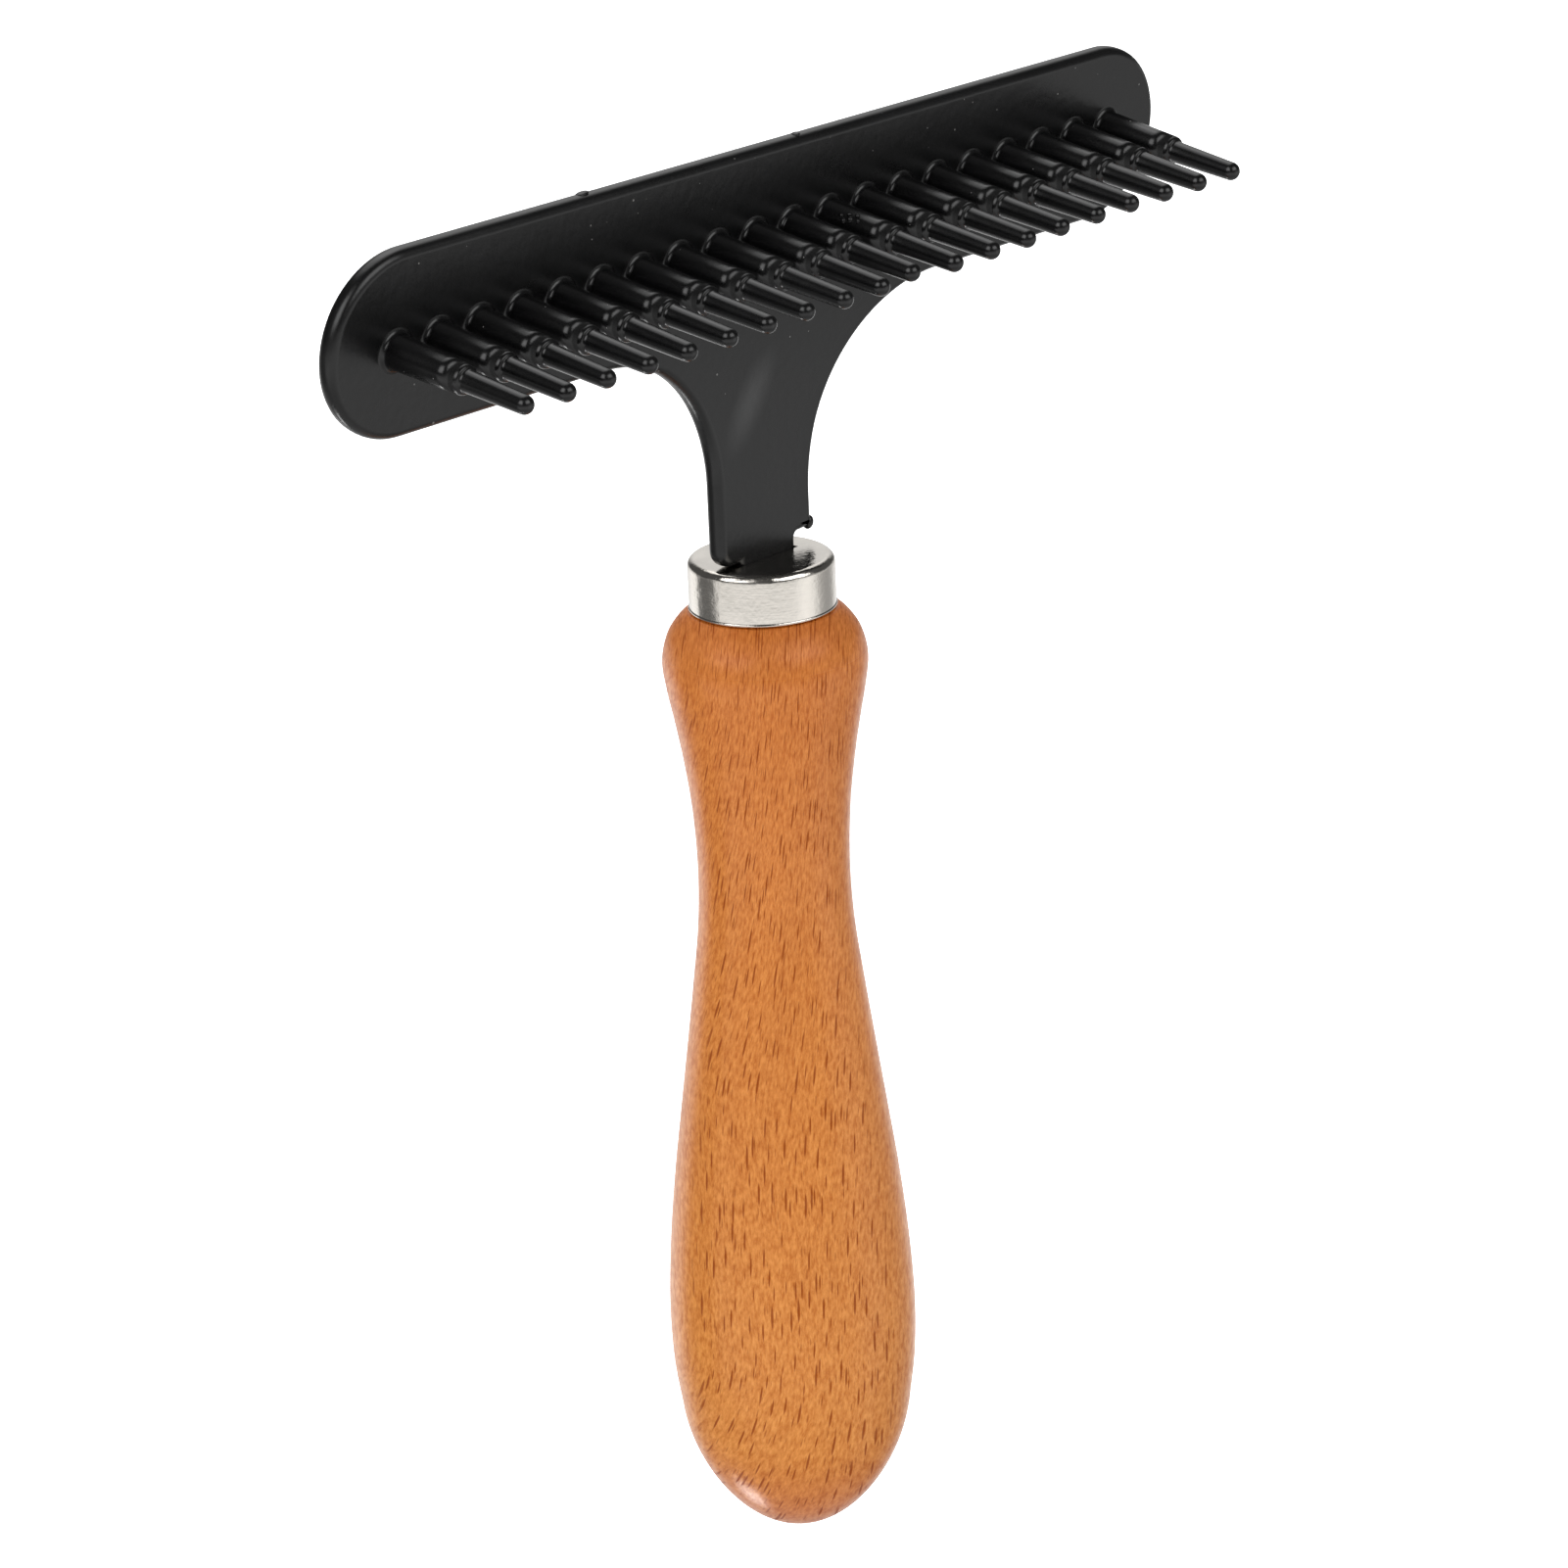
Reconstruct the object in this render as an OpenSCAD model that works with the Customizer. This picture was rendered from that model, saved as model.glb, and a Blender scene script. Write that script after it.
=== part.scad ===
// Deshedding rake for long-haired pets: a stamped T-shaped head plate with one
// row of twenty stepped pins, a plated ferrule and a turned beech handle.
// Frame: +Z runs up the handle's axis, the pins point to -Y, the bar lies along X.
// The origin is the middle of the grip, on the handle's axis.

/* [Head plate] */
// Length of the bar over its two round ends
bar_len = 132.2; // [80:0.1:180]
// Height of the bar
bar_h = 21; // [12:0.1:30]
// Thickness of the plate
plate_t = 2.5; // [1.5:0.1:4]
// Lean of the bar towards the pin side, in degrees
bar_lean = 8.25; // [0:0.05:20]
// Width of the neck at its narrowest
neck_w = 15.1; // [8:0.1:24]
// Radius of the left corner between bar and neck
corner_left = 17.5; // [5:0.5:25]
// Radius of the right corner between bar and neck
corner_right = 21.5; // [5:0.5:25]
// Height of the row of pins over the ferrule's top
row_up = 38; // [30:0.1:60]
// Height of the row over the middle of the bar
row_off = 0.3; // [0:0.1:3]
// Climb of the row along the bar, in degrees
row_climb = 0.6; // [0:0.1:2]
// Width of the tang that goes into the handle
tang_w = 9.5; // [5:0.1:13]
// Depth of the tang under the ferrule's top
tang_len = 30; // [10:1:50]

/* [Pins] */
// Distance from pin to pin
pitch = 6; // [5:0.1:10]
// Length of a pin in front of the plate
pin_len = 20; // [10:0.1:35]
// Number of the pin that was driven in a little too deep
low_pin = 11; // [1:1:20]
// How much shorter that pin stands
low_by = 1; // [0:0.1:3]
// Diameter of the thick half at the plate
thick_d = 4; // [2:0.1:5]
// Diameter of the thick half at the step
step_d = 3.4; // [2:0.1:5]
// Diameter of the thin half at the step
thin_d = 2.5; // [1:0.05:4]
// Diameter of the thin half at the tip
tip_d = 2.15; // [1:0.05:3]
// Distance of the step from the plate
step_at = 10.6; // [5:0.1:20]
// Diameter of the riveted shank in the plate
shank_d = 3; // [1.5:0.1:3.8]

/* [Ferrule] */
// Outer diameter of the ferrule
cap_d = 16.8; // [12:0.1:30]
// Height of the ferrule
cap_h = 6; // [3:0.1:15]
// Sheet thickness of the ferrule
cap_t = 0.7; // [0.3:0.1:1.5]

/* [Handle] */
// Length from the ferrule's top to the butt
grip_len = 121; // [80:1:160]
// Diameter of the collar bulge under the ferrule
bulge_d = 23.5; // [15:0.1:35]
// Diameter of the waist
waist_d = 17.6; // [10:0.1:30]
// Diameter of the belly
belly_d = 29; // [20:0.1:45]

/* [Hidden] */
$fn = 64;

top_z = 64;                          // height of the ferrule's top face
row_z = top_z + row_up;              // height of the pins' row
bend_len = 16;                       // length of the gentle bend in the neck
bend_z = top_z + 20;                 // where the two flats would meet
bend_r = bend_len / 2 / tan(bar_lean / 2);
// front face of the bar at the height of the row
row_y = -plate_t / 2 - (row_z - bend_z) * tan(bar_lean);
bar_z = -row_off;                    // middle of the bar, seen from the row
slack = 0.05;                        // play between the tang and its slots

// ---------------------------------------------------------------- head plate

// a point row on an arc round [cx, cz]
function arc(cx, cz, r, a0, a1, n = 12) =
    [for (i = [0:n]) let (a = a0 + (a1 - a0) * i / n) [cx + r * cos(a), cz + r * sin(a)]];

// bar with round ends, running into the neck over two hollow corners
module blank() {
    hb = bar_h / 2;
    lo = bar_z - hb;
    bar_outline(hb);
    polygon(concat(
        [[-neck_w / 2 - corner_left, lo + 1], [neck_w / 2 + corner_right, lo + 1]],
        arc(neck_w / 2 + corner_right, lo - corner_right, corner_right, 90, 180, 20),
        [[neck_w / 2, -60], [-neck_w / 2, -60]],
        arc(-neck_w / 2 - corner_left, lo - corner_left, corner_left, 0, 90, 20)));
}

// straight bar between two round ends
module bar_outline(hb) {
    translate([-bar_len / 2 + hb, bar_z - hb]) square([bar_len - bar_h, bar_h]);
    for (s = [-1, 1]) translate([s * (bar_len / 2 - hb), bar_z]) circle(r = hb, $fn = 96);
}

// side view of the bent strip: straight neck, gentle bend, straight bar
function strip_edge(off, flip) = let (
        r = bend_r + off, cz = bend_z - bend_len / 2, cy = -plate_t / 2 - bend_r,
        top = row_z + 14 * cos(bar_lean),
        pts = concat([[cy + r, top_z + 5]],
            [for (i = [0:8]) let (a = bar_lean * i / 8) [cy + r * cos(a), cz + r * sin(a)]],
            [[cy + r * cos(bar_lean) - (top - cz - r * sin(bar_lean)) * tan(bar_lean), top]]))
    flip ? [for (i = [len(pts) - 1:-1:0]) pts[i]] : pts;

module strip() {
    rotate([90, 0, 90])
        linear_extrude(height = bar_len + 4, center = true)
            polygon(concat(strip_edge(0, false), strip_edge(plate_t, true)));
}

// neck end with its rounded left shoulder, the punched relief at the right with
// a small burr over it, and the tang
module neck_end() {
    hw = neck_w / 2;
    ht = tang_w / 2;
    polygon(concat(
        [[-hw, top_z + 6], [hw, top_z + 6], [hw, top_z + 2.9], [hw + 0.3, top_z + 2.1],
         [hw + 0.25, top_z + 1.75]],
        [[ht + 0.7, top_z + 1.6]],
        arc(ht + 0.65, top_z + 0.95, 0.65, 90, 180, 4),
        [[ht, top_z - tang_len + 2], [ht - 2, top_z - tang_len],
         [-ht + 2, top_z - tang_len], [-ht, top_z - tang_len + 2], [-ht, top_z + 0.1]],
        arc(-hw + 2.1, top_z + 2.2, 2.1, 270, 180, 6)));
}

module head_plate() color("#242424") {
    difference() {
        union() {
            intersection() {
                translate([0, row_y, row_z]) rotate([bar_lean, 0, 0])
                    translate([0, 12, 0]) rotate([90, 0, 0])
                        linear_extrude(height = 24) blank();
                strip();
            }
            translate([0, plate_t / 2, 0]) rotate([90, 0, 0])
                linear_extrude(height = plate_t) neck_end();
        }
        for (k = [1:20]) at_pin(k)
            translate([0, 0, -plate_t - 1]) cylinder(d = shank_d + 0.04, h = plate_t + 2);
    }
}

// ----------------------------------------------------------------------- pins

// puts a child at foot k of the row, its +Z along the pin
module at_pin(k) {
    x = (k - 10.5) * pitch;
    translate([0, row_y, row_z]) rotate([bar_lean, 0, 0])
        translate([x, 0, x * tan(row_climb)]) rotate([90, 0, 0]) children();
}

// stepped pin: shank through the plate, flared foot, thick half, thin half
module pin(k) {
    l = pin_len - (k == low_pin ? low_by : 0);
    down = k == low_pin ? low_by : 0;
    foot = 0.8;
    rt = tip_d / 2;
    r1 = step_d / 2;
    r2 = thin_d / 2;
    s = step_at - down;
    color("#1c1c1c") at_pin(k) rotate_extrude() polygon(concat(
        [[0, -plate_t + 0.02], [shank_d / 2, -plate_t + 0.02], [shank_d / 2, 0]],
        arc(thick_d / 2 + foot, foot, foot, 270, 180, 5),
        arc(r1 - 0.4, s - 0.4, 0.4, 10, 80, 3),
        [[r2 + 0.2, s]],
        [[r2, s + 0.25]],
        arc(0, l - rt, rt, 3, 90, 8)));
}

module pin_01() pin(1);
module pin_02() pin(2);
module pin_03() pin(3);
module pin_04() pin(4);
module pin_05() pin(5);
module pin_06() pin(6);
module pin_07() pin(7);
module pin_08() pin(8);
module pin_09() pin(9);
module pin_10() pin(10);
module pin_11() pin(11);
module pin_12() pin(12);
module pin_13() pin(13);
module pin_14() pin(14);
module pin_15() pin(15);
module pin_16() pin(16);
module pin_17() pin(17);
module pin_18() pin(18);
module pin_19() pin(19);
module pin_20() pin(20);

// -------------------------------------------------------------------- ferrule

// drawn sheet cap with a rounded rim, a slightly flared lower edge and a slot
module ferrule() color("#c9c9c6") {
    ro = cap_d / 2;
    ri = ro - cap_t;
    difference() {
        rotate_extrude() polygon(concat(
            [[0, top_z - cap_t], [ri - 0.3, top_z - cap_t], [ri, top_z - cap_t - 0.3],
             [ri, top_z - cap_h], [ro + 0.12, top_z - cap_h],
             [ro + 0.12, top_z - cap_h + 0.3], [ro, top_z - cap_h + 0.6]],
            arc(ro - 0.9, top_z - 0.9, 0.9, 0, 90, 6),
            [[0, top_z]]));
        translate([0, 0, top_z])
            cube([tang_w + 2 * slack, plate_t + 2 * slack, 4], center = true);
    }
}

// --------------------------------------------------------------------- handle

// stations of the turned outline: [distance under the ferrule's top, radius]
turned = [[cap_h, 8.5], [7.4, 9.95], [9.2, 11.1], [12, bulge_d / 2], [15, bulge_d / 2 - 0.3],
          [19, 10.7], [24, 9.85], [30, 9.12], [37, waist_d / 2], [44, 9.05], [52, 10.0],
          [60, 11.07], [68, 12.17], [76, 13.23], [84, 14.05], [92, belly_d / 2],
          [99, 14.32], [105, 13.55]];

// slope at station i, and a smooth curve through all of them
function slope(p, i) = let (a = max(i - 1, 0), b = min(i + 1, len(p) - 1))
    (p[b][1] - p[a][1]) / (p[b][0] - p[a][0]);
function bow(p, i, t) = let (h = p[i + 1][0] - p[i][0]) [
    p[i][0] + h * t,
    (2 * t * t * t - 3 * t * t + 1) * p[i][1] + (t * t * t - 2 * t * t + t) * h * slope(p, i)
    + (3 * t * t - 2 * t * t * t) * p[i + 1][1]
    + (t * t * t - t * t) * h * slope(p, i + 1)];

module handle() color("#c9762f") {
    n = len(turned) - 1;
    e = turned[n];
    drop = grip_len - e[0];
    lead = slope(turned, n) * drop;
    curve = concat([for (i = [0:n - 1], t = [0:0.34:0.7]) bow(turned, i, t)],
        [for (i = [0:11]) let (a = i * 7.5)
            [e[0] + drop * sin(a), (e[1] + lead * sin(a)) * cos(a)]]);
    spigot = cap_d / 2 - cap_t - slack;
    difference() {
        rotate_extrude() polygon(concat(
            [[0, top_z - cap_t - 0.1], [spigot - 0.6, top_z - cap_t - 0.1],
             [spigot, top_z - cap_t - 0.7], [spigot, top_z - cap_h]],
            [for (c = curve) [c[1], top_z - c[0]]],
            [[0, top_z - grip_len]]));
        translate([0, 0, top_z - tang_len / 2 - 0.3])
            cube([tang_w + 2 * slack, plate_t + 2 * slack, tang_len + 0.8], center = true);
    }
}

head_plate();
pin_01();
pin_02();
pin_03();
pin_04();
pin_05();
pin_06();
pin_07();
pin_08();
pin_09();
pin_10();
pin_11();
pin_12();
pin_13();
pin_14();
pin_15();
pin_16();
pin_17();
pin_18();
pin_19();
pin_20();
ferrule();
handle();
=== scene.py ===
"""Deshedding rake: a coated steel head with one row of stepped pins, a nickel-plated
ferrule and a turned beech handle. Lengths are metres, +Z runs up the handle."""
from math import cos, pi, radians, sin, tan

import bmesh
import bpy
from mathutils import Matrix, Vector


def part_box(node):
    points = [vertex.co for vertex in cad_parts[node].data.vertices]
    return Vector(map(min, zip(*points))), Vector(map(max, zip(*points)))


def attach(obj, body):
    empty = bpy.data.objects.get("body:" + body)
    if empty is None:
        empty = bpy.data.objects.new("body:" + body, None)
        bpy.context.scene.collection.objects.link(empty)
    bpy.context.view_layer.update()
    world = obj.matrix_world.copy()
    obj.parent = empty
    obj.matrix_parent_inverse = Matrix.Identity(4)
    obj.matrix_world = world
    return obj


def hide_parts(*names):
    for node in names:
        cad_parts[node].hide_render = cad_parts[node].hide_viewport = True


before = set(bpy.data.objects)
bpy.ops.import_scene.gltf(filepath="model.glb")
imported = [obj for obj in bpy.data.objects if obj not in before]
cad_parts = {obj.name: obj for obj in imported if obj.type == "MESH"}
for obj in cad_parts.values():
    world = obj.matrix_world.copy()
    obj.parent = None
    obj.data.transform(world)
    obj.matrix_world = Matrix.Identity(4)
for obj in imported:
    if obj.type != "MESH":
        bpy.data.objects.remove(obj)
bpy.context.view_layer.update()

# ------------------------------------------------------------------ camera
# A long lens a little above the grip, on the side of the first pin and tipped a
# little, so that the rake leans.
swing, rise, tip = radians(-46.2), radians(19.7), radians(-2.4)
back = Vector((sin(swing) * cos(rise), -cos(swing) * cos(rise), sin(rise)))
level = Vector((cos(swing), sin(swing), 0))
over = back.cross(level)
cam_right = level * cos(tip) + over * sin(tip)
cam_up = over * cos(tip) - level * sin(tip)
camera_away, camera_up, camera_aside = 0.6632, 0.0343, 0.0001
camera = bpy.data.objects.new("camera", bpy.data.cameras.new("camera"))
camera.data.lens = 130.4
camera.data.sensor_width = 36
camera.data.clip_start = 0.05
turn = Matrix((cam_right, cam_up, back)).transposed()
stand_at = back * camera_away + cam_up * camera_up + cam_right * camera_aside
camera.matrix_world = Matrix.Translation(stand_at) @ turn.to_4x4()
bpy.context.collection.objects.link(camera)
bpy.context.scene.camera = camera

# ------------------------------------------------------------------- stage
# A wide white floor far below the rake, which is held up in the air. It is lit past
# white, as in a light tent, so it shows no shadow.
bpy.context.scene.view_settings.view_transform = "Standard"
paper = bpy.data.materials.new("stage_paper")
paper.use_nodes = True
paper_shader = paper.node_tree.nodes["Principled BSDF"]
paper_shader.inputs["Base Color"].default_value = (0.9, 0.9, 0.9, 1)
paper_shader.inputs["Roughness"].default_value = 0.9
paper_shader.inputs["Emission Color"].default_value = (1, 1, 1, 1)
paper_shader.inputs["Emission Strength"].default_value = 1.0
floor_mesh = bpy.data.meshes.new("floor")
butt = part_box("handle")[0][2]
held_up = 0.35
half, drop = 6.0, butt - held_up
floor_mesh.from_pydata(
    [(-half, -half, drop), (half, -half, drop), (half, half, drop), (-half, half, drop)],
    [], [(0, 1, 2, 3)])
floor_mesh.materials.append(paper)
floor = bpy.data.objects.new("floor", floor_mesh)
bpy.context.collection.objects.link(floor)
floor.visible_glossy = False
floor.visible_diffuse = False
floor.visible_shadow = False


def add_node(tree, kind, settings=None, **links):
    """a node with its plain settings and its inputs, given as values or sockets; a
    name such as i0 picks an input by its number"""
    node = tree.nodes.new(kind)
    for key, value in (settings or {}).items():
        setattr(node, key, value)
    for key, value in links.items():
        label = int(key[1:]) if key[1:].isdigit() else key.replace("_", " ")
        socket = node.inputs[label]
        if isinstance(value, bpy.types.NodeSocket):
            tree.links.new(value, socket)
        else:
            socket.default_value = value
    return node


def sums(tree, operation, *values):
    """the output of a math node with the given inputs"""
    node = add_node(tree, "ShaderNodeMath", {"operation": operation},
                    **{f"i{k}": value for k, value in enumerate(values)})
    return node.outputs[0]


def ramped(tree, value, start, end, to_start=0.0, to_end=1.0, kind="LINEAR"):
    """the value taken from the first range to the second, and held beyond its ends"""
    return add_node(tree, "ShaderNodeMapRange", {"interpolation_type": kind}, Value=value,
                    From_Min=start, From_Max=end, To_Min=to_start, To_Max=to_end).outputs[0]


def dot(tree, first, second):
    """how far one direction runs along another"""
    return add_node(tree, "ShaderNodeVectorMath", {"operation": "DOT_PRODUCT"}, i0=first,
                    i1=second).outputs["Value"]


# The tent is white to the eye and a soft lamp from the upper left. What the rake mirrors
# is the tent's pale floor, its bright wall behind at the right, two soft boxes at the
# front, and its open, dim top and left side.
world = bpy.data.worlds.new("tent")
bpy.context.scene.world = world
world.use_nodes = True
sky = world.node_tree
sky.nodes.clear()
sky_out = sky.nodes.new("ShaderNodeOutputWorld")
way = add_node(sky, "ShaderNodeTexCoord").outputs["Generated"]
way_z = add_node(sky, "ShaderNodeSeparateXYZ", {}, Vector=way).outputs["Z"]


def patch(azimuth, height, inner, outer):
    """1 inside a round part of the tent and 0 outside it, angles in degrees"""
    a, e = radians(azimuth), radians(height)
    near = dot(sky, way, (cos(a) * cos(e), sin(a) * cos(e), sin(e)))
    return ramped(sky, near, cos(radians(outer)), cos(radians(inner)), kind="SMOOTHSTEP")


# angle of a direction to the right of the side that is seen, in degrees
toward = Vector((back.x, back.y, 0)).normalized()
turned_by = sums(sky, "DEGREES", sums(sky, "ARCTAN2", dot(sky, way, level),
                                      dot(sky, way, toward)))


def soft_box(left, right, low, high):
    """1 inside an upright soft box between two angles and two heights, 0 outside"""
    sides = []
    for value, a, b, soft in ((turned_by, left, right, 7), (way_z, low, high, 0.07)):
        off = sums(sky, "ABSOLUTE", sums(sky, "SUBTRACT", value, (a + b) / 2))
        sides.append(ramped(sky, off, (b - a) / 2 + soft, (b - a) / 2 - soft, kind="SMOOTHSTEP"))
    return sums(sky, "MULTIPLY", *sides)


ground = ramped(sky, way_z, -0.42, -0.2, 1.2, 0.80)
below = ramped(sky, way_z, -0.8, -0.45, 0.5, 1.0)
edge = ramped(sky, way_z, -0.18, 0.06, 1.0, 0.10, kind="SMOOTHSTEP")
mirrored = sums(sky, "MULTIPLY", sums(sky, "MULTIPLY", ground, below), edge)
# darker parts, then brighter ones: angle round, angle up, where the part starts and
# ends to fade, and how much it takes or gives
for *where, change in ((345, -34, 12, 34, -0.6), (125, -16, 12, 26, -0.72),
                       (122, -45, 22, 36, -0.56)):
    gloom = sums(sky, "MULTIPLY_ADD", patch(*where), change, 1.0)
    mirrored = sums(sky, "MULTIPLY", mirrored, gloom)
for *where, change in ((44, 14, 8, 28, 0.72), (38, 44, 8, 24, 0.75), (60, 58, 12, 26, 1.5),
                       (97, -60, 4, 9, 7.0), (90, -16, 8, 18, 0.3), (296, 0, 10, 28, 0.35)):
    mirrored = sums(sky, "MULTIPLY_ADD", patch(*where), change, mirrored)
for *where, strength in ((-66, -20, 0.30, 0.80, 3.4), (24, 80, 0.34, 0.78, 3.0)):
    mirrored = sums(sky, "MULTIPLY_ADD", soft_box(*where), strength, mirrored)
# the soft lamp that lights what isn't shiny
lamp_side, lamp_flat, lamp_up = radians(195), 0.87, 0.5
key = dot(sky, way, (cos(lamp_side) * lamp_flat, sin(lamp_side) * lamp_flat, lamp_up))
even = sums(sky, "MULTIPLY_ADD", key, 0.24, 0.80)
paths = add_node(sky, "ShaderNodeLightPath")
lamps = add_node(sky, "ShaderNodeMix", {}, i0=paths.outputs["Is Diffuse Ray"], i2=mirrored,
                 i3=even).outputs[0]
shown = add_node(sky, "ShaderNodeMix", {}, i0=paths.outputs["Is Camera Ray"], i2=lamps,
                 i3=1.0).outputs[0]
glow = add_node(sky, "ShaderNodeBackground", {}, Strength=shown)
glow.inputs["Color"].default_value = (1, 1, 1, 1)
sky.links.new(glow.outputs[0], sky_out.inputs["Surface"])


# -------------------------------------------------------------- head plate
# One blank stamped from 2.5 mm steel sheet: bar, neck and tang. Its edges are tumbled
# round, the neck is bent a little forwards, and it has a satin black powder coat.
MM = 0.001
cap_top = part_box("ferrule")[1][2]
plate_t = 2.5 * MM
bar_len, bar_h = 132.2 * MM, 21 * MM
bar_lean = radians(8.25)
row_z = cap_top + 38 * MM
row_off = 0.3 * MM
bend_len = 16 * MM
bend_low = cap_top + 12 * MM
bend_r = bend_len / 2 / tan(bar_lean / 2)
bend_run = bend_r * bar_lean
row_run = bend_run + (row_z - bend_low - bend_r * sin(bar_lean)) / cos(bar_lean)


def bent(run, depth):
    """place of a point that lies run up the strip from the bend's start, depth in from
    the front face, as (y, z), and the lean of the strip there"""
    lean = min(max(run / bend_r, 0), bar_lean)
    r = bend_r + depth
    past = run - lean * bend_r
    y = r * cos(lean) - bend_r - plate_t / 2 - past * sin(lean)
    return y, bend_low + r * sin(lean) + past * cos(lean), lean


def arc(cx, cy, r, start, end, steps):
    """points round a centre, angles in degrees"""
    turns = [radians(start + (end - start) * i / steps) for i in range(steps + 1)]
    return [(cx + r * cos(a), cy + r * sin(a)) for a in turns]


bar_mid = row_run - row_off
bar_low = bar_mid - bar_h / 2
bar_r = bar_h / 2
neck, tang = 15.1 * MM / 2, 9.5 * MM / 2
shoulder = cap_top - bend_low
corner_l, corner_r = 17.5 * MM, 21.5 * MM
heel_r, notch_r, tang_shown = 2.1 * MM, 0.65 * MM, 6 * MM
outline = (
    arc(bar_len / 2 - bar_r, bar_mid, bar_r, -90, 90, 40)
    + arc(bar_r - bar_len / 2, bar_mid, bar_r, 90, 270, 40)
    + arc(-neck - corner_l, bar_low - corner_l, corner_l, 90, 0, 26)
    + arc(-neck + heel_r, shoulder + 2.2 * MM, heel_r, 180, 270, 10)
    + [(-tang, shoulder + 0.1 * MM), (-tang, shoulder - tang_shown),
       (tang, shoulder - tang_shown)]
    + arc(tang + notch_r, shoulder + 0.95 * MM, notch_r, 180, 90, 6)
    + [(neck - 0.12 * MM, shoulder + 1.68 * MM), (neck, shoulder + 1.9 * MM),
       (neck, shoulder + 3.6 * MM)]
    + arc(neck + corner_r, bar_low - corner_r, corner_r, 180, 90, 30))
curve = bpy.data.curves.new("blank", "CURVE")
curve.dimensions = "2D"
curve.fill_mode = "BOTH"
edge_r = 1.0 * MM
curve.extrude = plate_t / 2 - edge_r
curve.bevel_depth = edge_r
curve.bevel_resolution = 4
curve.offset = -edge_r
spline = curve.splines.new("POLY")
spline.points.add(len(outline) - 1)
for point, (x, run) in zip(spline.points, outline):
    point.co = (x, run, 0, 1)
spline.use_cyclic_u = True
blank = bpy.data.objects.new("blank", curve)
bpy.context.collection.objects.link(blank)


def plain_mesh(source, name):
    """the evaluated object as a mesh of its own"""
    graph = bpy.context.evaluated_depsgraph_get()
    mesh = bpy.data.meshes.new_from_object(source.evaluated_get(graph), depsgraph=graph)
    mesh.name = name
    return mesh


plate_mesh = plain_mesh(blank, "head_plate_looks")
bpy.data.objects.remove(blank)
bm = bmesh.new()
bm.from_mesh(plate_mesh)
bmesh.ops.remove_doubles(bm, verts=bm.verts, dist=1e-6)
bend_steps = 16
for i in range(bend_steps + 1):
    bmesh.ops.bisect_plane(bm, geom=bm.verts[:] + bm.edges[:] + bm.faces[:], dist=1e-7,
                           plane_co=(0, bend_run * i / bend_steps, 0), plane_no=(0, 1, 0))
bm.verts.index_update()
flat_way = {}
for v in bm.verts:
    y, z, lean = bent(v.co.y, plate_t / 2 + v.co.z)
    if abs(v.co.z) > plate_t / 2 - 1e-6:
        facing = 1 if v.co.z > 0 else -1
        flat_way[v.index] = Vector((0, cos(lean), sin(lean))) * facing
    v.co = (v.co.x, y, z)
# drops of coat that ran together on the burr at the neck's right edge and on the bar's
# top edge: place along the plate, height, distance in from the front, and size
crown = bar_mid + bar_h / 2
for x, run, deep, wide, tall in ((neck - 0.1 * MM, shoulder + 2.1 * MM, 0.75 * MM, 0.68, 0.8),
                                 (-29 * MM, crown, 1.5 * MM, 0.9, 0.22),
                                 (4 * MM, crown, 1.2 * MM, 0.5, 0.2)):
    y, z, _ = bent(run, deep)
    drip = bmesh.ops.create_uvsphere(bm, u_segments=20, v_segments=12, radius=MM)
    for v in drip["verts"]:
        v.co = (x + v.co.x * wide, y + v.co.y * 0.6, z + v.co.z * tall + v.co.x * 0.12)
bmesh.ops.recalc_face_normals(bm, faces=bm.faces)
bm.to_mesh(plate_mesh)
bm.free()
plate_mesh.shade_smooth()
# the two flats are shaded flat up to their rounded edges
plate_mesh.normals_split_custom_set_from_vertices(
    [flat_way.get(v.index) or v.normal.copy() for v in plate_mesh.vertices])


def piece(name, mesh, *nodes):
    """an object at the origin that stands for the named CAD nodes"""
    obj = bpy.data.objects.new(name, mesh)
    bpy.context.collection.objects.link(obj)
    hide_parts(*nodes)
    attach(obj, "root")
    return obj


def finish(name):
    """a new material, its node tree and its Principled shader"""
    material = bpy.data.materials.new(name)
    material.use_nodes = True
    return material, material.node_tree, material.node_tree.nodes["Principled BSDF"]


def node_group(name, inputs, outputs):
    """an empty shader group with float inputs and the given outputs"""
    group = bpy.data.node_groups.new(name, "ShaderNodeTree")
    group.interface.new_socket("Place", in_out="INPUT", socket_type="NodeSocketVector")
    for label, value in inputs.items():
        socket = group.interface.new_socket(label, in_out="INPUT", socket_type="NodeSocketFloat")
        socket.default_value = value
    for label in outputs:
        group.interface.new_socket(label, in_out="OUTPUT", socket_type="NodeSocketFloat")
    return group, group.nodes.new("NodeGroupInput"), group.nodes.new("NodeGroupOutput")


# dust: scattered round specks, 0 to 1
dust, g_in, g_out = node_group("dust_specks", {"Spacing": 0.004, "Size": 0.1}, ["Mask"])
cells = add_node(dust, "ShaderNodeTexVoronoi", {}, Vector=g_in.outputs["Place"],
                 Scale=sums(dust, "DIVIDE", 1.0, g_in.outputs["Spacing"]))
chance = add_node(dust, "ShaderNodeSeparateColor", {}, Color=cells.outputs["Color"])
radius = sums(dust, "MULTIPLY", chance.outputs[0], g_in.outputs["Size"])
speck = ramped(dust, sums(dust, "SUBTRACT", radius, cells.outputs["Distance"]), 0.0, 0.02)
empty_share = 0.42
filled = sums(dust, "GREATER_THAN", chance.outputs[1], empty_share)
dust.links.new(sums(dust, "MULTIPLY", speck, filled), g_out.inputs["Mask"])

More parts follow.
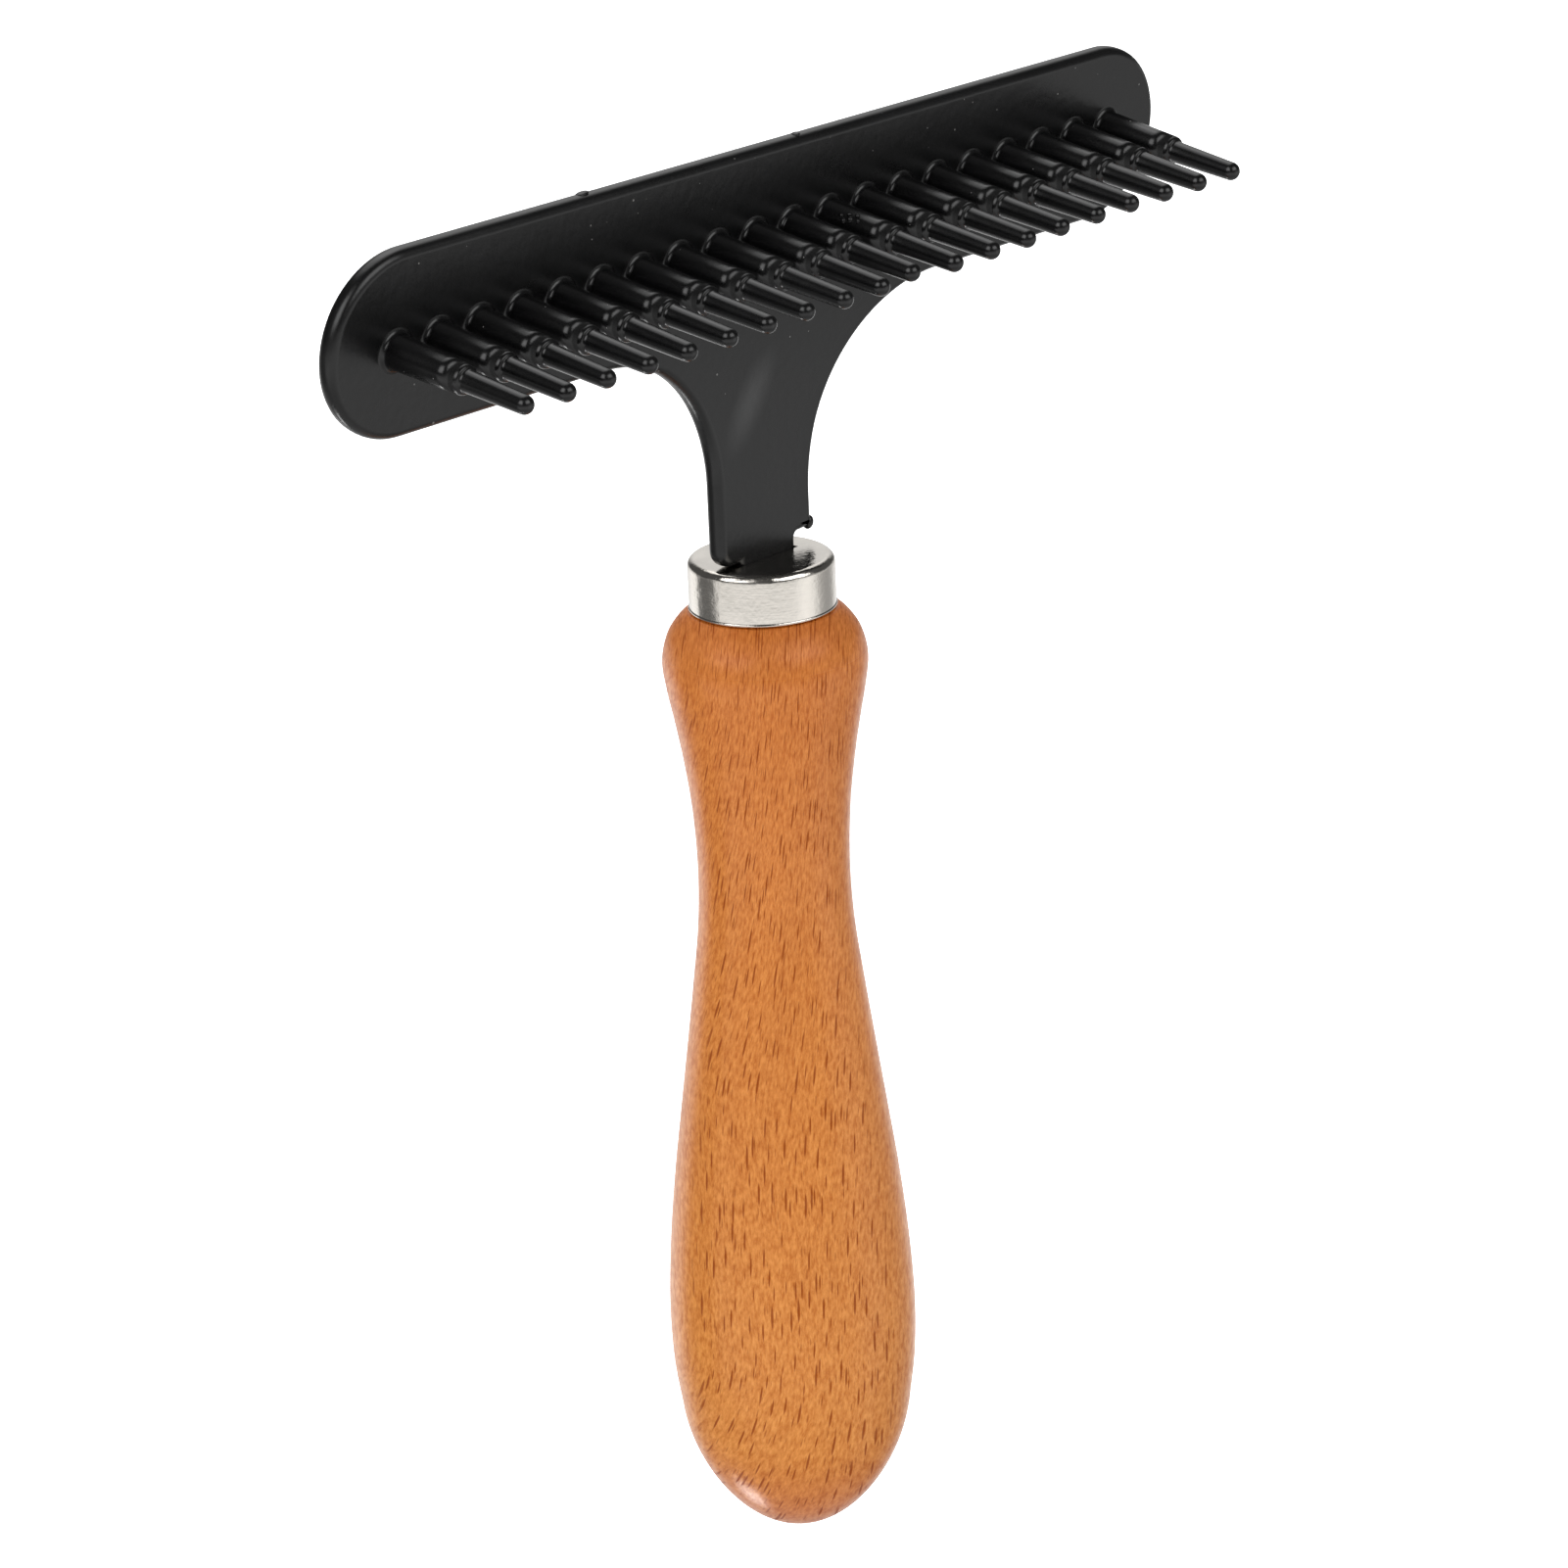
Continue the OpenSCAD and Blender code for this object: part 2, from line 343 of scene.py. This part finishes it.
# coat texture: slow ripples of a sprayed and baked coat with a fine tooth, about 0 to 1
coat, g_in, g_out = node_group("coat_texture", {"Ripple": 0.0012, "Tooth": 0.00018}, ["Height"])
ripple, tooth = [
    add_node(coat, "ShaderNodeTexNoise", {}, Vector=g_in.outputs["Place"], Detail=1.0,
             Scale=sums(coat, "DIVIDE", 1.0, g_in.outputs[label])).outputs["Fac"]
    for label in ("Ripple", "Tooth")]
coat.links.new(sums(coat, "MULTIPLY_ADD", tooth, 0.25, ripple), g_out.inputs["Height"])


def blend(tree, factor, first, second, kind="MIX"):
    """a colour between two others, each a value or a socket"""
    return add_node(tree, "ShaderNodeMix", {"data_type": "RGBA", "blend_type": kind},
                    Factor=factor, A=first, B=second).outputs["Result"]


def black_coat(name, rough, rough_swing, bump, speck_size):
    """black baked coat: near-black colour, uneven sheen, fine texture and a little dust"""
    material, tree, shader = finish(name)
    spot_at = add_node(tree, "ShaderNodeTexCoord").outputs["Object"]
    specks = add_node(tree, "ShaderNodeGroup", {"node_tree": dust}, Place=spot_at,
                      Spacing=0.0015, Size=speck_size)
    film = add_node(tree, "ShaderNodeGroup", {"node_tree": coat}, Place=spot_at)
    cloud = add_node(tree, "ShaderNodeTexNoise", {}, Vector=spot_at, Scale=90.0, Detail=3.0)
    tone = blend(tree, cloud.outputs["Fac"], (0.0012, 0.0012, 0.0013, 1),
                 (0.0034, 0.0034, 0.0036, 1))
    dusty = blend(tree, specks.outputs["Mask"], tone, (0.2, 0.195, 0.19, 1))
    tree.links.new(dusty, shader.inputs["Base Color"])
    sheen = ramped(tree, cloud.outputs["Fac"], 0.3, 0.7, rough - rough_swing, rough + rough_swing)
    tree.links.new(sheen, shader.inputs["Roughness"])
    relief = add_node(tree, "ShaderNodeBump", {}, Strength=bump, Distance=0.00008,
                      Height=sums(tree, "MULTIPLY_ADD", specks.outputs["Mask"], 0.7,
                                  film.outputs["Height"]))
    tree.links.new(relief.outputs[0], shader.inputs["Normal"])
    return material, tree, shader, spot_at


satin, tree, shader, spot_at = black_coat("satin_black_coat", 0.29, 0.03, 0.3, 0.1)
# a hand has polished the coat a little where the neck's bend begins
at_rub = add_node(tree, "ShaderNodeMapping", {"vector_type": "TEXTURE"}, Vector=spot_at,
                  Location=(-2.2 * MM, -1.9 * MM, cap_top + 18.5 * MM),
                  Rotation=(0, radians(32), 0), Scale=(0.0019, 0.0016, 0.0050)).outputs[0]
rub = add_node(tree, "ShaderNodeVectorMath", {"operation": "LENGTH"}, i0=at_rub).outputs["Value"]
polish = ramped(tree, rub, 0.0, 1.6, 0.86, 0.45, kind="SMOOTHSTEP")
tree.links.new(polish, shader.inputs["Specular IOR Level"])
plate_mesh.materials.clear()
plate_mesh.materials.append(satin)
head_plate = piece("coated_head_plate", plate_mesh, "head_plate")

# -------------------------------------------------------------------- pins
# Twenty turned steel pins, riveted through the bar before coating: a flared foot, a
# thick half, a rounded step, a thin half and a ball tip. The tail is peened flat behind.
pin_len, pitch, row_climb = 20 * MM, 6 * MM, radians(0.6)
low_by = 1.0 * MM


def lathe(name, profile, steps):
    """a closed turned mesh from (radius, height) points that start and end on the axis"""
    shape = bmesh.new()
    rings = []
    for wide, height in profile:
        if wide < 1e-7:
            rings.append([shape.verts.new((0, 0, height))])
            continue
        angles = [2 * pi * i / steps for i in range(steps)]
        rings.append([shape.verts.new((wide * cos(a), wide * sin(a), height))
                      for a in angles])
    for low, high in zip(rings, rings[1:]):
        for i in range(steps):
            j = (i + 1) % steps
            if len(low) == 1:
                shape.faces.new((low[0], high[j], high[i]))
            elif len(high) == 1:
                shape.faces.new((low[i], low[j], high[0]))
            else:
                shape.faces.new((low[i], low[j], high[j], high[i]))
    bmesh.ops.recalc_face_normals(shape, faces=shape.faces)
    mesh = bpy.data.meshes.new(name)
    shape.to_mesh(mesh)
    shape.free()
    mesh.shade_smooth()
    return mesh


def rise_to(r0, h0, r1, h1, steps):
    """evenly spaced points from one place to another, without the first"""
    return [(r0 + (r1 - r0) * i / steps, h0 + (h1 - h0) * i / steps) for i in range(1, steps + 1)]


# a pin's profile in millimetres, from its tail behind the bar to its tip
foot, thick, step_r, thin, tip_r = 0.6, 1.98, 1.70, 1.25, 1.07
shank_r, tail_r = 1.5, 1.75
step_at, length = 10.6, pin_len / MM
profile = [(0, -2.62), (0.9, -2.6), (shank_r, -2.55), (tail_r, -2.46), (tail_r, -1.6),
           (shank_r, -1.5), (shank_r, -0.3), (thick, -0.25), (thick, foot)]
profile += rise_to(thick, foot, step_r, step_at - 0.45, 4)
profile += [(r, step_at - 0.55 + 2 * (h - step_at))
            for r, h in arc(step_r - 0.28, step_at, 0.28, 4, 84, 8)]
profile += [(r, step_at + 0.42 + 2.3 * (h - step_at))
            for r, h in arc(thin + 0.17, step_at, 0.17, 264, 186, 6)]
profile += rise_to(thin, step_at + 0.42, tip_r, length - tip_r, 5)
profile += arc(0, length - tip_r, tip_r, 4, 90, 10)[:-1] + [(0, length)]
pin_mesh = lathe("pin_blank", [(r * MM, h * MM) for r, h in profile], 40)
pin_blank = bpy.data.objects.new("pin_blank", pin_mesh)
bpy.context.collection.objects.link(pin_blank)
# the coat runs together into a small hollow ring round each foot
ring = [(0, -0.5), (thick + foot, -0.4), (thick + foot + 0.02, -0.01)]
ring += arc(thick + foot, foot, foot, 268, 184, 9) + [(thick - 0.1, foot + 0.3), (0, foot + 0.3)]
ring_mesh = lathe("foot_ring", [(r * MM, h * MM) for r, h in ring], 40)
ring_blank = bpy.data.objects.new("foot_ring", ring_mesh)
bpy.context.collection.objects.link(ring_blank)
pin_coat, _, shader, _ = black_coat("glossy_black_coat", 0.25, 0.03, 0.15, 0.07)
shader.inputs["Specular IOR Level"].default_value = 0.46

row = bpy.data.node_groups.new("pin_row", "GeometryNodeTree")
row.interface.new_socket("Pin", in_out="INPUT", socket_type="NodeSocketGeometry")
row.interface.new_socket("Row", in_out="OUTPUT", socket_type="NodeSocketGeometry")
for label, kind in (("Ring", "NodeSocketObject"), ("Count", "NodeSocketInt"),
                    ("Low pin", "NodeSocketInt"), ("Pitch", "NodeSocketFloat"),
                    ("Climb", "NodeSocketFloat"), ("Low by", "NodeSocketFloat"),
                    ("Wobble", "NodeSocketFloat"), ("Coat", "NodeSocketMaterial")):
    row.interface.new_socket(label, in_out="INPUT", socket_type=kind)
r_in, r_out = row.nodes.new("NodeGroupInput"), row.nodes.new("NodeGroupOutput")
index = add_node(row, "GeometryNodeInputIndex").outputs[0]
middle = sums(row, "MULTIPLY", sums(row, "SUBTRACT", r_in.outputs["Count"], 1.0), 0.5)
along = sums(row, "MULTIPLY", sums(row, "SUBTRACT", index, middle), r_in.outputs["Pitch"])
climb = sums(row, "MULTIPLY", along, r_in.outputs["Climb"])
is_low = add_node(row, "FunctionNodeCompare", {"data_type": "INT", "operation": "EQUAL"},
                  i2=index, i3=r_in.outputs["Low pin"])
down = sums(row, "MULTIPLY", sums(row, "MULTIPLY", is_low.outputs[0], r_in.outputs["Low by"]),
            -1.0)
# in the bar's own frame: X along it, Y up its face, Z out of it
spots = add_node(row, "ShaderNodeCombineXYZ", {}, X=along, Y=climb, Z=down)
line = add_node(row, "GeometryNodeMeshLine", {"mode": "OFFSET"}, Count=r_in.outputs["Count"])
feet = add_node(row, "GeometryNodeSetPosition", {}, Geometry=line.outputs[0],
                Position=spots.outputs[0])
wobble_low = sums(row, "MULTIPLY", r_in.outputs["Wobble"], -1.0)
side, nod, spin = [
    add_node(row, "FunctionNodeRandomValue", {"data_type": "FLOAT"}, i2=least, i3=most,
             Seed=seed).outputs[1]
    for least, most, seed in ((wobble_low, r_in.outputs["Wobble"], 4),
                              (wobble_low, r_in.outputs["Wobble"], 9), (0.0, 6.28, 2))]
aim = add_node(row, "ShaderNodeCombineXYZ", {}, X=nod, Y=side, Z=spin)
pins_out = add_node(row, "GeometryNodeInstanceOnPoints", {}, Points=feet.outputs[0],
                    Instance=r_in.outputs["Pin"], Rotation=aim.outputs[0])
flush = add_node(row, "ShaderNodeCombineXYZ", {}, X=along, Y=climb)
bases = add_node(row, "GeometryNodeSetPosition", {}, Geometry=line.outputs[0],
                 Position=flush.outputs[0])
ring_in = add_node(row, "GeometryNodeObjectInfo", {}, Object=r_in.outputs["Ring"])
turn_ring = add_node(row, "ShaderNodeCombineXYZ", {}, Z=spin)
rings_out = add_node(row, "GeometryNodeInstanceOnPoints", {}, Points=bases.outputs[0],
                     Instance=ring_in.outputs["Geometry"], Rotation=turn_ring.outputs[0])
both_out = row.nodes.new("GeometryNodeJoinGeometry")
row.links.new(pins_out.outputs[0], both_out.inputs[0])
row.links.new(rings_out.outputs[0], both_out.inputs[0])
solid = add_node(row, "GeometryNodeRealizeInstances", {}, Geometry=both_out.outputs[0])
coated = add_node(row, "GeometryNodeSetMaterial", {}, Geometry=solid.outputs[0],
                  Material=r_in.outputs["Coat"])
row.links.new(coated.outputs[0], r_out.inputs["Row"])


def grow(obj, tree, values):
    """runs a geometry tree on an object with the named input values"""
    modifier = obj.modifiers.new(tree.name, "NODES")
    modifier.node_group = tree
    for item in tree.interface.items_tree:
        if item.item_type == "SOCKET" and item.in_out == "INPUT" and item.name in values:
            modifier[item.identifier] = values[item.name]
    return plain_mesh(obj, tree.name)


pins_mesh = grow(pin_blank, row, {
    "Count": 20, "Low pin": 10, "Pitch": pitch, "Climb": tan(row_climb), "Low by": low_by,
    "Wobble": radians(0.35), "Ring": ring_blank, "Coat": pin_coat})
bpy.data.objects.remove(pin_blank)
bpy.data.objects.remove(ring_blank)
row_y = bent(row_run, 0)[0]
stand = Matrix.Translation((0, row_y, row_z)) @ Matrix.Rotation(pi / 2 + bar_lean, 4, "X")
# a crust of coat on the twelfth pin's thick half: each lump's height up the pin in
# millimetres, the side it is on in degrees, and its radius in millimetres
crust_at, crust_r = (12 - 10.5) * pitch, 1.86 * MM
bm = bmesh.new()
bm.from_mesh(pins_mesh)
bm.faces.ensure_lookup_table()
coat_index, own = bm.faces[0].material_index, len(bm.faces)
for up_pin, angle, size in ((3.3, 140, 0.24), (3.9, 155, 0.32), (4.2, 128, 0.28), (4.7, 144, 0.38),
                            (5.3, 122, 0.30), (5.8, 140, 0.24)):
    lump = bmesh.ops.create_uvsphere(bm, u_segments=12, v_segments=8, radius=size * MM)
    for v in lump["verts"]:
        v.co += Vector((crust_at + crust_r * cos(radians(angle)),
                        crust_at * tan(row_climb) + crust_r * sin(radians(angle)),
                        up_pin * MM))
for face in list(bm.faces)[own:]:
    face.material_index = coat_index
bm.to_mesh(pins_mesh)
bm.free()
pins_mesh.shade_smooth()
pins_mesh.transform(stand)
pins = piece("riveted_pins", pins_mesh, *[f"pin_{k:02d}" for k in range(1, 21)])

# ----------------------------------------------------------------- ferrule
# A cap drawn from thin steel sheet and nickel plated: rounded rim, straight wall, a
# slightly flared lower edge, and a slot in its flat top for the tang.
# the cap's sizes in millimetres: its outer radius, height and sheet, the radius of its
# upper rim and of its lower lip, and how far in the lip's middle stands
cap_r, cap_h, cap_t = 8.4, 6.0, 0.7
rim, lip, lip_in = 0.9, 0.22, 0.12
profile = [(0, -cap_t), (cap_r - cap_t - 0.3, -cap_t), (cap_r - cap_t, -cap_t - 0.3),
           (cap_r - cap_t, -cap_h + 0.1), (cap_r - cap_t + 0.1, -cap_h + 0.01),
           (cap_r - lip_in, -cap_h + 0.01)]
profile += arc(cap_r - lip_in, -cap_h + lip + 0.01, lip, 270, 420, 8)
profile += [(cap_r - 0.01, -cap_h + 0.62), (cap_r, -cap_h + 0.8)]
profile += rise_to(cap_r, -cap_h + 0.8, cap_r, -rim - 0.15, 4)
profile += arc(cap_r - rim, -rim, rim, 0, 90, 12)
profile += rise_to(cap_r - rim, 0, cap_r - rim - 0.25, 0, 1) + [(5.0, 0), (0, 0)]
cap_mesh = lathe("cap_blank", [(r * MM, cap_top + h * MM) for r, h in profile], 160)
cap_blank = bpy.data.objects.new("cap_blank", cap_mesh)
punch_mesh = bpy.data.meshes.new("punch")
bm = bmesh.new()
bmesh.ops.create_cube(bm, size=1)
slot_w, slot_h, slot_deep = 2 * tang + 0.16 * MM, plate_t + 0.14 * MM, 4 * MM
for v in bm.verts:
    v.co = (v.co.x * slot_w, v.co.y * slot_h, v.co.z * slot_deep + cap_top)
bm.to_mesh(punch_mesh)
bm.free()
punch = bpy.data.objects.new("punch", punch_mesh)
for obj in (cap_blank, punch):
    bpy.context.collection.objects.link(obj)
cap_blank.modifiers.new("slot", "BOOLEAN").object = punch
ferrule_mesh = plain_mesh(cap_blank, "ferrule_looks")
for obj in (cap_blank, punch):
    bpy.data.objects.remove(obj)
ferrule_mesh.set_sharp_from_angle(angle=radians(35))

plating, tree, shader = finish("nickel_plate")
here = add_node(tree, "ShaderNodeTexCoord").outputs["Object"]
smear = add_node(tree, "ShaderNodeTexNoise", {}, Vector=here, Scale=260.0, Detail=4.0,
                 Distortion=0.6).outputs["Fac"]
tree.links.new(blend(tree, smear, (0.60, 0.57, 0.52, 1), (0.79, 0.745, 0.685, 1)),
               shader.inputs["Base Color"])
shader.inputs["Metallic"].default_value = 1.0
tree.links.new(ramped(tree, smear, 0.35, 0.7, 0.1, 0.24), shader.inputs["Roughness"])
# fine rubs that run round the cap, over an even grit
round_it = add_node(tree, "ShaderNodeMapping", {}, Vector=here, Scale=(350.0, 350.0, 5200.0))
rubs = add_node(tree, "ShaderNodeTexNoise", {}, Vector=round_it.outputs[0], Scale=1.0, Detail=2.0)
grit = add_node(tree, "ShaderNodeTexNoise", {}, Vector=here, Scale=1500.0, Detail=3.0)
relief = add_node(tree, "ShaderNodeBump", {}, Strength=0.6, Distance=0.00004,
                  Height=sums(tree, "MULTIPLY_ADD", grit.outputs["Fac"], 1.6,
                              sums(tree, "MULTIPLY", rubs.outputs["Fac"], 0.5)))
tree.links.new(relief.outputs[0], shader.inputs["Normal"])
ferrule_mesh.materials.clear()
ferrule_mesh.materials.append(plating)
ferrule = piece("nickel_ferrule", ferrule_mesh, "ferrule")

# ------------------------------------------------------------------ handle
# Turned from one piece of steamed beech with the grain along it, stained orange-brown
# and varnished. A spigot at the top carries the ferrule, and the tang is driven into it.
# stations of the turned outline in millimetres: distance under the ferrule's top, radius
turned = [(6.0, 8.5), (7.4, 9.95), (9.2, 11.1), (12, 11.75), (15, 11.45), (19, 10.7),
          (24, 9.85), (30, 9.12), (37, 8.8), (44, 9.05), (52, 10.0), (60, 11.07), (68, 12.17),
          (76, 13.23), (84, 14.05), (92, 14.5), (99, 14.32), (105, 13.55)]
grip_len = (cap_top - butt) / MM


def slope(i):
    """slope of the turned outline at station i"""
    (h0, r0), (h1, r1) = turned[max(i - 1, 0)], turned[min(i + 1, len(turned) - 1)]
    return (r1 - r0) / (h1 - h0)


spigot_r, bevel = 7.65, 0.6
profile = [(0, -0.8), (7.0, -0.8), (spigot_r, -0.8 - bevel), (spigot_r, -cap_h - 0.12),
           (8.5, -cap_h - 0.13)]
for i, ((h0, r0), (h1, r1)) in enumerate(zip(turned, turned[1:])):
    span = h1 - h0
    for k in range(9):
        t = k / 9
        r = ((2 * t**3 - 3 * t**2 + 1) * r0 + (t**3 - 2 * t**2 + t) * span * slope(i)
             + (3 * t**2 - 2 * t**3) * r1 + (t**3 - t**2) * span * slope(i + 1))
        if h0 + span * t > cap_h + 0.14:
            profile.append((r, -h0 - span * t))
end_h, end_r = turned[-1]
drop_h = grip_len - end_h
lead = slope(len(turned) - 1) * drop_h
butt_steps = 40
for k in range(butt_steps):
    a = radians(90 * k / butt_steps)
    profile.append(((end_r + lead * sin(a)) * cos(a), -end_h - drop_h * sin(a)))
profile.append((0, -grip_len))
handle_mesh = lathe("handle_looks", [(r * MM, cap_top + h * MM) for r, h in profile], 144)

# thin dark marks where the wood's rays are cut across, 0 to 1: flat cells stretched
# along the grain, which run straight through the handle as rays do
marks, g_in, g_out = node_group(
    "beech_rays", {"Across": 0.0006, "Along": 0.007, "Width": 0.13, "Start": 0.0}, ["Mask"])
wide = sums(marks, "DIVIDE", 1.0, g_in.outputs["Across"])
tall = sums(marks, "DIVIDE", 1.0, g_in.outputs["Along"])
at = add_node(marks, "ShaderNodeSeparateXYZ", {}, Vector=g_in.outputs["Place"])
u = sums(marks, "MULTIPLY_ADD", at.outputs["X"], wide, g_in.outputs["Start"])
v = sums(marks, "MULTIPLY_ADD", at.outputs["Z"], tall, g_in.outputs["Start"])
flat = add_node(marks, "ShaderNodeCombineXYZ", {}, X=u, Y=v)
cells = add_node(marks, "ShaderNodeTexVoronoi", {"voronoi_dimensions": "2D"},
                 Vector=flat.outputs[0], Scale=1.0)
luck = add_node(marks, "ShaderNodeSeparateColor", {}, Color=cells.outputs["Color"])
reach = ramped(marks, luck.outputs[0], 0.0, 1.0, 0.6, 1.3)
limit = sums(marks, "MULTIPLY", reach, g_in.outputs["Width"])
inside = sums(marks, "SUBTRACT", limit, cells.outputs["Distance"])
marks.links.new(ramped(marks, inside, -0.015, 0.05), g_out.inputs["Mask"])

beech, tree, shader = finish("varnished_beech")
here = add_node(tree, "ShaderNodeTexCoord").outputs["Object"]
# x across the rays, y along them, z up the handle; the blank was sawn a little off
# the grain, so the marks lean more towards the first pin's side, at the waist and butt
square = add_node(tree, "ShaderNodeMapping", {}, Vector=here, Rotation=(0, 0, -swing))
sawn = add_node(tree, "ShaderNodeSeparateXYZ", {}, Vector=square.outputs[0])
up = sums(tree, "SUBTRACT", sawn.outputs["Z"], butt)
upper = sums(tree, "SMOOTH_MAX", sums(tree, "SUBTRACT", up, 0.058), 0.0, 0.01)
lower = sums(tree, "SMOOTH_MAX", sums(tree, "SUBTRACT", 0.024, up), 0.0, 0.01)
lean_z = sums(tree, "SUBTRACT", upper, lower)
side_way = sums(tree, "MULTIPLY_ADD", sawn.outputs["X"], -1 / 0.012, 1.0)
lean_by = sums(tree, "MULTIPLY", sums(tree, "MULTIPLY", side_way, lean_z), 0.17)
lean_by = sums(tree, "MULTIPLY_ADD", up, 0.04, lean_by)
wander = add_node(tree, "ShaderNodeTexNoise", {}, Vector=here, Scale=45.0, Detail=2.0)
sway = sums(tree, "MULTIPLY_ADD", wander.outputs["Fac"], 0.0012, lean_by)
across = sums(tree, "SUBTRACT", sawn.outputs["X"], sway)
grain = add_node(tree, "ShaderNodeCombineXYZ", {}, X=across, Y=sawn.outputs["Y"],
                 Z=sawn.outputs["Z"]).outputs[0]
big = add_node(tree, "ShaderNodeGroup", {"node_tree": marks}, Place=grain, Across=0.00075,
               Along=0.008, Width=0.155, Start=3.7)
little = add_node(tree, "ShaderNodeGroup", {"node_tree": marks}, Place=grain, Across=0.0007,
                  Along=0.0052, Width=0.11, Start=11.3)
dark = sums(tree, "MAXIMUM", big.outputs["Mask"],
            sums(tree, "MULTIPLY", little.outputs["Mask"], 0.6))
# a ray that runs along the surface, instead of into it, leaves no dark mark
normal = add_node(tree, "ShaderNodeNewGeometry").outputs["Normal"]
into = ramped(tree, sums(tree, "ABSOLUTE", dot(tree, normal, level)), 0.72, 0.94, 1.0, 0.08,
              kind="SMOOTHSTEP")
dark = sums(tree, "MULTIPLY", dark, into)
fibre_at = add_node(tree, "ShaderNodeMapping", {}, Vector=grain, Scale=(3000.0, 900.0, 1000.0))
fibre = add_node(tree, "ShaderNodeTexNoise", {}, Vector=fibre_at.outputs[0], Scale=1.0, Detail=3.0,
                 Roughness=0.6)
fleck = ramped(tree, fibre.outputs["Fac"], 0.32, 0.68)
band_at = add_node(tree, "ShaderNodeMapping", {}, Vector=grain, Scale=(240.0, 60.0, 14.0))
band = add_node(tree, "ShaderNodeTexNoise", {}, Vector=band_at.outputs[0], Scale=1.0, Detail=2.0)
split = add_node(tree, "ShaderNodeSeparateXYZ", {}, Vector=here)
side_grain = blend(tree, ramped(tree, split.outputs["Z"], butt, cap_top),
                   (0.70, 0.248, 0.035, 1), (0.62, 0.175, 0.020, 1))
# the stain goes in deeper where the grain is cut across, most of all at the butt
facing = add_node(tree, "ShaderNodeSeparateXYZ", {}, Vector=normal)
cut_across = sums(tree, "MAXIMUM", sums(tree, "MULTIPLY", facing.outputs["Z"], -1.2),
                  sums(tree, "MULTIPLY", facing.outputs["Z"], 0.6))
end_grain = ramped(tree, cut_across, 0.12, 0.8, 0.0, 0.7, kind="SMOOTHSTEP")
stain = blend(tree, end_grain, side_grain, (0.57, 0.135, 0.010, 1))
# broad bands of lighter and darker wood, then single fibres, then the marks
bands = blend(tree, band.outputs["Fac"], (0.80, 0.74, 0.68, 1), (1.12, 1.15, 1.2, 1))
banded = blend(tree, 0.5, stain, bands, kind="MULTIPLY")
fibres = blend(tree, fleck, (0.70, 0.53, 0.30, 1), (1.25, 1.46, 2.0, 1))
fibrous = blend(tree, 0.7, banded, fibres, kind="MULTIPLY")
marked = blend(tree, sums(tree, "MULTIPLY", dark, 0.85), fibrous, (0.27, 0.048, 0.003, 1))
tree.links.new(marked, shader.inputs["Base Color"])
shader.inputs["Roughness"].default_value = 0.5
shader.inputs["Specular IOR Level"].default_value = 0.1
# the varnish has sunk into the marks, and lies duller on the end grain
sunk = sums(tree, "MULTIPLY_ADD", dark, -0.6, sums(tree, "MULTIPLY_ADD", fleck, 0.45, 0.5))
tree.links.new(sunk, shader.inputs["Coat Weight"])
haze = ramped(tree, facing.outputs["Z"], 0.1, 0.6, 0.25, 0.42)
tree.links.new(haze, shader.inputs["Coat Roughness"])
surface = sums(tree, "MULTIPLY_ADD", dark, -0.6, fibre.outputs["Fac"])
relief = add_node(tree, "ShaderNodeBump", {}, Strength=0.25, Distance=0.00006, Height=surface)
tree.links.new(relief.outputs[0], shader.inputs["Normal"])
handle_mesh.materials.append(beech)
handle = piece("beech_handle", handle_mesh, "handle")
